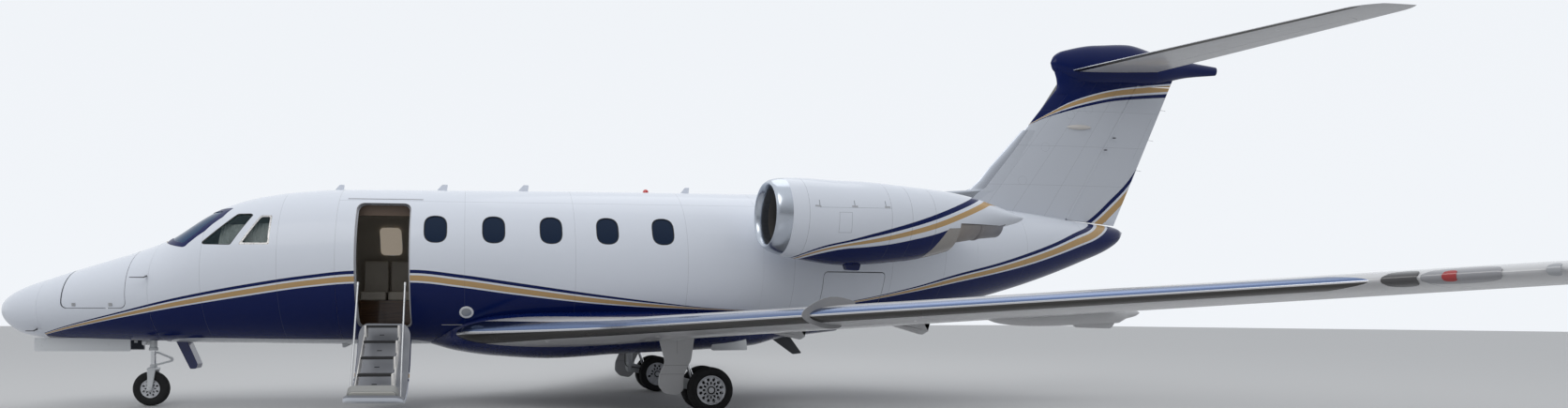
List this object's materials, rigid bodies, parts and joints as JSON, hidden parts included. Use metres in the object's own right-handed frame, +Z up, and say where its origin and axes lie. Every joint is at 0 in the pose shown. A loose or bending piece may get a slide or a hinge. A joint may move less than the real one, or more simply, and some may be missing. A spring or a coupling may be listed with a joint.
{
  "type": "twin engine business jet",
  "caption": "Twin engine business jet with a T tail and swept wing, parked on its gear with the airstair door down.",
  "frame": {"origin": "on the ground, in the middle of the aircraft's bounding box", "axes": "-X towards the nose, +Y towards the starboard wing tip, +Z up"},
  "size_m": [16.86, 16.31, 5.1344],
  "materials": {
    "white_paint": "glossy white aircraft enamel",
    "navy_paint": "glossy dark navy enamel",
    "tail_paint": "white enamel on thin sheet",
    "cowl_paint": "white enamel on thin sheet",
    "radome_paint": "white enamel on a composite cap",
    "belly_paint": "pale grey and navy enamel on composite skin",
    "wing_paint": "light grey enamel with bare leading edges",
    "smoked_glass": "smoked window glazing",
    "carpet": "dark cabin carpet and panels",
    "leather": "pale grey seat leather",
    "panel_black": "black instrument panel",
    "stair_metal": "satin metal with grey anti slip treads",
    "fan_metal": "satin titanium",
    "engine_metal": "heat tinted metal",
    "gear_paint": "satin light grey enamel",
    "gear_steel": "ground steel",
    "rim_metal": "bright cast alloy",
    "rubber": "black tyre rubber"
  },
  "bodies": {
    "root": {"radome": "radome_paint", "nose_shell": "white_paint", "flight_deck_shell": "white_paint", "cabin_shell": "white_paint", "rear_fuselage": "white_paint", "tail_cone": "white_paint", "flight_deck_glass": "smoked_glass", "cabin_glass_port": "smoked_glass", "cabin_glass_starboard": "smoked_glass", "cabin_floor": "carpet", "instrument_panel": "panel_black", "cabin_seats": "leather", "crew_seats": "leather", "entry_bench": "leather", "belly_fairing": "belly_paint", "fin": "tail_paint", "bullet_fairing": "navy_paint", "stabiliser": "wing_paint", "wing_port": "wing_paint", "wing_starboard": "wing_paint", "nacelle_port": "cowl_paint", "nacelle_starboard": "cowl_paint", "pylon_port": "cowl_paint", "pylon_starboard": "cowl_paint", "engine_core_port": "engine_metal", "engine_core_starboard": "engine_metal", "main_gear_leg_port": "gear_paint", "main_gear_leg_starboard": "gear_paint", "leg_fairing_port": "gear_paint", "leg_fairing_starboard": "gear_paint", "nose_gear_leg": "gear_paint", "nose_wheel_well": "gear_paint", "nose_gear_door_port": "gear_paint", "nose_gear_door_starboard": "gear_paint", "nose_gear_aft_door": "navy_paint"},
    "nose_steer": {"nose_fork": "gear_steel"},
    "nose_wheel": {"nose_rim": "rim_metal", "nose_tyre": "rubber"},
    "airstair": {"airstair_door": "white_paint", "airstair_steps": "stair_metal"},
    "baggage_door": {"baggage_door": "white_paint"},
    "rudder": {"rudder": "tail_paint"},
    "main_wheels_port": {"main_rims_port": "rim_metal", "main_tyre_inner_port": "rubber", "main_tyre_outer_port": "rubber"},
    "fan_port": {"fan_port": "fan_metal"},
    "nose_bay_door_port": {"nose_bay_door_port": "white_paint"},
    "elevator_port": {"elevator_port": "wing_paint"},
    "aileron_port": {"aileron_port": "wing_paint"},
    "flap_port": {"flap_port": "wing_paint"},
    "main_wheels_starboard": {"main_rims_starboard": "rim_metal", "main_tyre_inner_starboard": "rubber", "main_tyre_outer_starboard": "rubber"},
    "fan_starboard": {"fan_starboard": "fan_metal"},
    "nose_bay_door_starboard": {"nose_bay_door_starboard": "white_paint"},
    "elevator_starboard": {"elevator_starboard": "wing_paint"},
    "aileron_starboard": {"aileron_starboard": "wing_paint"},
    "flap_starboard": {"flap_starboard": "wing_paint"}
  },
  "joints": [
    {"name": "nose_steering", "type": "hinge", "parent": "root", "child": "nose_steer", "pos_m": [-6.655, 0, 0.6], "axis": [0, 0, 1], "range_deg": [-60, 60]},
    {"name": "nose_wheel_spin", "type": "hinge", "parent": "nose_steer", "child": "nose_wheel", "pos_m": [-6.679, 0, 0.22], "axis": [0, 1, 0], "continuous": true},
    {"name": "main_wheels_spin_port", "type": "hinge", "parent": "root", "child": "main_wheels_port", "pos_m": [0.2, -1.421, 0.27], "axis": [0, 1, 0], "continuous": true},
    {"name": "main_wheels_spin_starboard", "type": "hinge", "parent": "root", "child": "main_wheels_starboard", "pos_m": [0.2, 1.421, 0.27], "axis": [0, 1, 0], "continuous": true},
    {"name": "fan_spin_port", "type": "hinge", "parent": "root", "child": "fan_port", "pos_m": [1.43, -1.6, 2.28], "axis": [1, 0, 0], "continuous": true},
    {"name": "fan_spin_starboard", "type": "hinge", "parent": "root", "child": "fan_starboard", "pos_m": [1.43, 1.6, 2.28], "axis": [1, 0, 0], "continuous": true},
    {"name": "airstair_hinge", "type": "hinge", "parent": "root", "child": "airstair", "pos_m": [-3.675, -0.6404, 1.005], "axis": [1, 0, 0], "range_deg": [-119, 0]},
    {"name": "nose_bay_hinge_port", "type": "hinge", "parent": "root", "child": "nose_bay_door_port", "pos_m": [-7.5, -0.16, 1.7166], "axis": [-0.9499, 0, -0.3126], "range_deg": [0, 75]},
    {"name": "nose_bay_hinge_starboard", "type": "hinge", "parent": "root", "child": "nose_bay_door_starboard", "pos_m": [-7.5, 0.16, 1.7166], "axis": [0.9499, 0, 0.3126], "range_deg": [0, 75]},
    {"name": "baggage_hinge", "type": "hinge", "parent": "root", "child": "baggage_door", "pos_m": [1.89, -0.9597, 1.72], "axis": [-0.9955, -0.0949, 0], "range_deg": [0, 95]},
    {"name": "rudder_hinge", "type": "hinge", "parent": "root", "child": "rudder", "pos_m": [6, 0, 2.56], "axis": [0.4976, 0, 0.8674], "range_deg": [-25, 25]},
    {"name": "elevator_hinge_port", "type": "hinge", "parent": "root", "child": "elevator_port", "pos_m": [7.08362, -0.5, 4.71577], "axis": [-0.3866, 0.9222, 0.0001], "range_deg": [-20, 15]},
    {"name": "elevator_hinge_starboard", "type": "hinge", "parent": "root", "child": "elevator_starboard", "pos_m": [7.08362, 0.5, 4.71577], "axis": [0.3866, 0.9222, -0.0001], "range_deg": [-20, 15]},
    {"name": "aileron_hinge_port", "type": "hinge", "parent": "root", "child": "aileron_port", "pos_m": [1.72532, -5.75, 1.19566], "axis": [-0.3384, 0.9397, -0.049], "range_deg": [-15, 15]},
    {"name": "aileron_hinge_starboard", "type": "hinge", "parent": "root", "child": "aileron_starboard", "pos_m": [1.72532, 5.75, 1.19566], "axis": [0.3384, 0.9397, 0.049], "range_deg": [-15, 15]},
    {"name": "flap_hinge_port", "type": "hinge", "parent": "root", "child": "flap_port", "pos_m": [0.05778, -1.12, 0.95469], "axis": [-0.3384, 0.9397, -0.0489], "range_deg": [0, 37]},
    {"name": "flap_hinge_starboard", "type": "hinge", "parent": "root", "child": "flap_starboard", "pos_m": [0.05778, 1.12, 0.95469], "axis": [0.3384, 0.9397, 0.0489], "range_deg": [0, 37]}
  ],
  "couplings": [
    {"joint": "elevator_hinge_starboard", "follows": "elevator_hinge_port", "ratio": 1},
    {"joint": "aileron_hinge_starboard", "follows": "aileron_hinge_port", "ratio": -1},
    {"joint": "flap_hinge_starboard", "follows": "flap_hinge_port", "ratio": 1}
  ]
}
